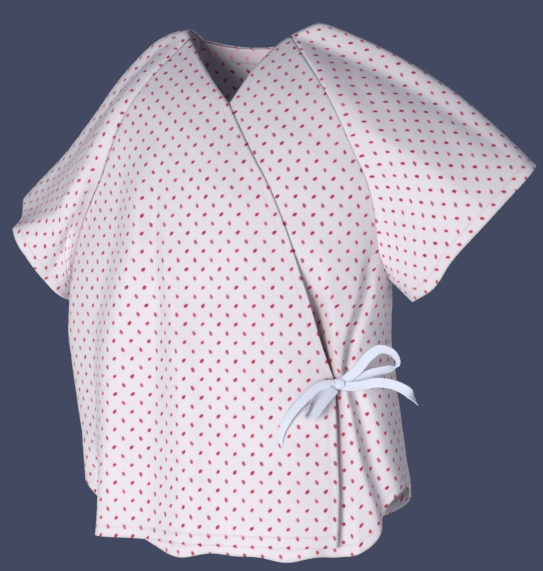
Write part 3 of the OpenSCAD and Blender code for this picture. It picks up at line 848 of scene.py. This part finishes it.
# ---------------------------------------------------------------- facings, stitches, label, tacks
def strip(name, rows, flats, material, thickness=0.5, flip=False):
    rows = np.asarray(rows)
    obj = new_mesh(name, rows.reshape(-1, 3), grid_faces(rows.shape[0], rows.shape[1], flip),
                   {"cloth": np.asarray(flats).reshape(-1, 3)})
    thicken(obj, thickness)
    obj.data.materials.append(material)
    return obj


def facing(name, surface, line, width, inward, lift=-2.4, flip=False):
    """A strip behind a panel's edge. line is the edge as (share, height); inward moves its free side."""
    line = np.asarray(line)
    steps = np.linspace(0, 1, 7)
    rows = [surface(line[:, 0] + inward[0] * w, line[:, 1] + inward[1] * w - 1.0,
                    lift + 0.6 * math.sin(math.pi * w))
            for w in steps]
    run = np.concatenate([[0], np.cumsum(np.linalg.norm(np.diff(rows[0], axis=0), axis=1))])
    flats = [np.stack([run * MM, np.full(len(run), -w * width * MM), np.zeros(len(run))], -1) for w in steps]
    return strip(name, rows, flats, FACING, 0.5, flip)


def stitch_line(points, normals, pitch=3.4, length=2.3, width=0.55, height=0.35):
    """Separate stitches along a line of surface points, as closed lozenge-shaped grains."""
    points, normals = np.asarray(points, float), np.asarray(normals, float)
    run = np.concatenate([[0], np.cumsum(np.linalg.norm(np.diff(points, axis=0), axis=1))])
    count = max(1, int(run[-1] / pitch))
    at = (np.arange(count) + 0.5) * pitch
    verts, faces = [], []
    for s in at:
        ends = [np.array([np.interp(s + o * length / 2, run, points[:, c]) for c in range(3)])
                for o in (-1, 1)]
        up = unit(np.array([np.interp(s, run, normals[:, c]) for c in range(3)]))
        along = unit(ends[1] - ends[0])
        wide = unit(np.cross(up, along))
        base = len(verts)
        middle = (ends[0] + ends[1]) / 2
        verts.append(ends[0])
        for o in (-0.28, 0.28):
            c = middle + along * o * length
            verts += [c + wide * width / 2, c + up * height, c - wide * width / 2, c - up * height * 0.6]
        verts.append(ends[1])
        for q in range(4):
            a, b = base + 1 + q, base + 1 + (q + 1) % 4
            faces += [(base, b, a), (a, b, b + 4, a + 4), (a + 4, b + 4, base + 9)]
    return verts, faces


def stitches(name, lines):
    verts, faces = [], []
    for points, normals in lines:
        v, f = stitch_line(points, normals)
        faces += [tuple(x + len(verts) for x in face) for face in f]
        verts += v
    obj = new_mesh(name, verts, faces)
    obj.data.materials.append(THREAD)
    return obj


def surface_line(surface, shares, heights, lift=0.35):
    points = surface(shares, heights, lift)
    above = surface(shares, heights, lift + 1.0)
    return points, above - points


def inset(line, d):
    """(share, height) points moved d millimetres down from an edge."""
    line = np.asarray(line)
    return line[:, 0], line[:, 1] - d


N = 160
t = np.linspace(0, 1, N)
EDGE_BAND = 12
neck_line = np.array([neck_part(-1, True)(x) for x in np.linspace(0.03, 1, 30)])
wrap_line = np.array([edge_part(0)(x) for x in np.linspace(0, 0.985, 70)])
front_edge_line = np.concatenate([neck_line, wrap_line[1:]])
outer_facing = facing("outer_facing", outer, front_edge_line, 20, (-0.02, -24), flip=True)
side_z = np.linspace(-FRONT_LENGTH + 5, -TIE_DROP - 20, 30)
side_facing = strip("flap_side_facing",
                    [outer(wrap_edge(side_z) - 0.004 - 0.055 * w, side_z, -2.2)
                     for w in np.linspace(0, 1, 5)],
                    [np.stack([np.full(30, w * 0.02), side_z * MM, np.zeros(30)], -1)
                     for w in np.linspace(0, 1, 5)],
                    FACING, flip=True)
under_edge = np.concatenate([np.array([edge_part(0.12, -1, up=True)(x) for x in np.linspace(0, 1, 50)]),
                             np.array([neck_part(1, False)(x) for x in np.linspace(0.02, 0.97, 30)])])
under_facing = facing("under_facing", under, under_edge, 20, (0.0, -24), flip=True)
back_edge = np.array([back_neck_part(x) for x in np.linspace(0, 1, 40)])
back_facing = facing("back_neck_facing", back, back_edge, 18, (0, -20), flip=False)

outer_hem = stitches("outer_hem_stitches", [surface_line(
    outer, mix(-0.985, EDGE_HEM_SHARE - 0.01, t), front_hem(mix(-0.985, EDGE_HEM_SHARE - 0.01, t)) + HEM)])
under_hem_piece = stitches("under_hem_stitches", [surface_line(
    under, mix(-EDGE_HEM_SHARE, 0.985, t), under_hem(mix(-EDGE_HEM_SHARE, 0.985, t)) + HEM)])
back_hem_piece = stitches("back_hem_stitches", [surface_line(
    back, mix(-0.985, 0.985, t), back_hem(mix(-0.985, 0.985, t)) + HEM)])
band_share, band_z = inset(front_edge_line, EDGE_BAND)
side_line = surface_line(outer, wrap_edge(side_z) - 0.046, side_z)
edge_stitches = stitches("outer_edge_stitches", [surface_line(outer, band_share, band_z), side_line])
band_share, band_z = inset(back_edge, 14)
back_neck_stitches = stitches("back_neck_stitches", [surface_line(back, band_share, band_z)])


def raglan(side, name):
    lines = []
    tt = np.linspace(0.03, 0.98, 90)
    front = outer if side < 0 else under
    inward = 0.016
    share, z = side * (look(tt, SEAM_SHARE[side]) - inward), look(tt, SEAM_HEIGHT) - 4
    lines.append(surface_line(front, share, z))
    share, z = side * (look(tt, SEAM_SHARE[side]) - inward), look(tt, BACK_SEAM_HEIGHT) - 4
    lines.append(surface_line(back, share, z))
    return stitches(name, lines)


right_raglan = raglan(-1, "right_raglan_stitches")
left_raglan = raglan(1, "left_raglan_stitches")


def side_seam(side, name):
    z = np.linspace(-SIDE_LENGTH + 4, -360, 90)
    return stitches(name, [surface_line(back, side * 0.985, z)])


right_side = side_seam(-1, "right_side_stitches")
left_side = side_seam(1, "left_side_stitches")


def cuff_stitches(side, name):
    k = np.linspace(0.05, RING_K - 0.05, 200)
    r = np.full_like(k, 0.0)
    length = np.linalg.norm(cuff(side, k) - ring(side, k), axis=1)
    r = 1 - HEM / length
    p = sleeve(side, k, r, 0.35)
    return stitches(name, [(p, sleeve(side, k, r, 1.35) - p)])


right_cuff = cuff_stitches(-1, "right_cuff_stitches")
left_cuff = cuff_stitches(1, "left_cuff_stitches")


def label():
    rows, cols = 9, 13
    points, place = [], []
    for i in range(rows):
        for j in range(cols):
            x, z = mix(-19, 19, j / (cols - 1)), mix(-78, -54, i / (rows - 1))
            p = back(0.0, z, -4.4)
            sag = 0.8 * math.sin(math.pi * j / (cols - 1)) * (1 - i / (rows - 1))
            points.append((x, p[1] - sag, z))
            place.append((x * MM, z * MM, 0))
    obj = new_mesh("care_label", points, grid_faces(rows, cols), {"cloth": place})
    thicken(obj, 0.35)
    obj.data.materials.append(LABEL)
    return obj


label_piece = label()


def tack(name, at, turn):
    """A bar tack: a short column of cross stitches."""
    lines = []
    c, s = math.cos(math.radians(turn)), math.sin(math.radians(turn))
    for k in range(7):
        z = -6 + 2 * k
        lines.append((np.array([at + [-1.6 * c, -1.6 * s, z - 0.5], at + [1.6 * c, 1.6 * s, z + 0.5]]),
                      np.array([[s, -c, 0]] * 2)))
    verts, faces = [], []
    for points, normals in lines:
        v, f = stitch_line(points, normals, pitch=3.3, length=3.2, width=0.8, height=0.5)
        faces += [tuple(x + len(verts) for x in face) for face in f]
        verts += v
    obj = new_mesh(name, verts, faces)
    obj.data.materials.append(THREAD)
    return obj


flap_tack = tack("flap_tie_tack", outer(0.50, -TIE_DROP - 16.0, 0.6), 40)
side_tack = tack("side_tie_tack", under(0.66, -TIE_DROP - 4.0, 0.6), 55)


# ---------------------------------------------------------------- bodies and nodes
def place(piece, body_name, slot, *nodes):
    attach(piece, body_name)
    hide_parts(*nodes)


def bend(piece, slot, *nodes):
    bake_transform(piece)
    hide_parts(*nodes)


def lift_sleeve(piece, side, slot, *nodes):
    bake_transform(piece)
    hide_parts(*nodes)


bend(outer_front, "printed_cotton", "right_front_panel", "right_front_flap")
place(under_front, "gown_body", "printed_cotton", "left_front_panel")
place(back_piece, "gown_body", "printed_cotton", "back_panel")
lift_sleeve(left_sleeve, 1, "printed_cotton", "left_sleeve_head", "left_sleeve")
lift_sleeve(right_sleeve, -1, "printed_cotton", "right_sleeve_head", "right_sleeve")
bend(outer_facing, "facing", "right_front_facing")
bend(side_facing, "facing", "flap_facing")
place(under_facing, "gown_body", "facing", "left_front_facing")
place(back_facing, "gown_body", "facing", "back_neck_facing")
place(label_piece, "gown_body", "label", "care_label")
bend(outer_hem, "thread", "right_front_hem_thread", "flap_hem_thread")
place(under_hem_piece, "gown_body", "thread", "left_front_hem_thread")
place(back_hem_piece, "gown_body", "thread", "back_hem_thread")
bend(edge_stitches, "thread", "right_neck_thread", "flap_edge_thread")
place(back_neck_stitches, "gown_body", "thread", "back_neck_thread")
place(right_raglan, "gown_body", "thread", "right_raglan_thread")
place(left_raglan, "gown_body", "thread", "left_raglan_thread")
place(right_side, "gown_body", "thread", "right_side_thread")
place(left_side, "gown_body", "thread", "left_side_thread")
lift_sleeve(right_cuff, -1, "thread", "right_cuff_thread")
lift_sleeve(left_cuff, 1, "thread", "left_cuff_thread")
place(flap_tack, "front_flap", "thread", "flap_tie_tack")
place(side_tack, "gown_body", "thread", "side_tie_tack")

# ---------------------------------------------------------------- floor, light
floor_points = [(math.cos(a) * 2200, math.sin(a) * 2200, -1300) for a in np.linspace(0, 2 * math.pi, 97)[:-1]]
floor = new_mesh("floor", floor_points, [tuple(range(96))])
paint = Nodes("floor_paint")
grain = paint.put("TexNoise", paint.put("TexCoord", output=3), None, 6.0, 4.0)
paint.set(Base_Color=paint.blend(grain, srgb(206, 208, 212), srgb(214, 214, 216)), Roughness=0.7)
floor.data.materials.append(paint.material)


def area_light(name, azimuth, elevation, distance, size, power, colour, aim=(0, 0, -0.4)):
    data = bpy.data.lights.new(name, "AREA")
    data.shape = "DISK"
    data.size, data.energy, data.color = size, power, colour
    light = bpy.data.objects.new(name, data)
    a, e = math.radians(azimuth), math.radians(elevation)
    way = np.array([math.sin(a) * math.cos(e), -math.cos(a) * math.cos(e), math.sin(e)])
    light.location = np.array(aim) + way * distance
    light.rotation_mode = "QUATERNION"
    light.rotation_quaternion = Vector((-way).tolist()).to_track_quat("-Z", "Y")
    bpy.context.collection.objects.link(light)


area_light("key_light", -2, -6, 3.0, 1.5, 77, (1.0, 0.985, 0.955))
area_light("fill_light", 60, -8, 3.0, 1.8, 12, (1.0, 0.985, 0.955))
area_light("left_light", -85, -4, 3.0, 1.8, 16, (1.0, 0.985, 0.955))
area_light("right_light", 105, 0, 3.0, 1.8, 14, (1.0, 0.985, 0.96))
area_light("back_light", 190, 10, 3.0, 1.8, 24, (1.0, 0.985, 0.97))

world = bpy.data.worlds.new("world")
world.use_nodes = True
world.node_tree.nodes["Background"].inputs[0].default_value = srgb(66, 73, 96)
world.node_tree.nodes["Background"].inputs[1].default_value = 1.0
bpy.context.scene.world = world
bpy.context.scene.view_settings.view_transform = "Standard"
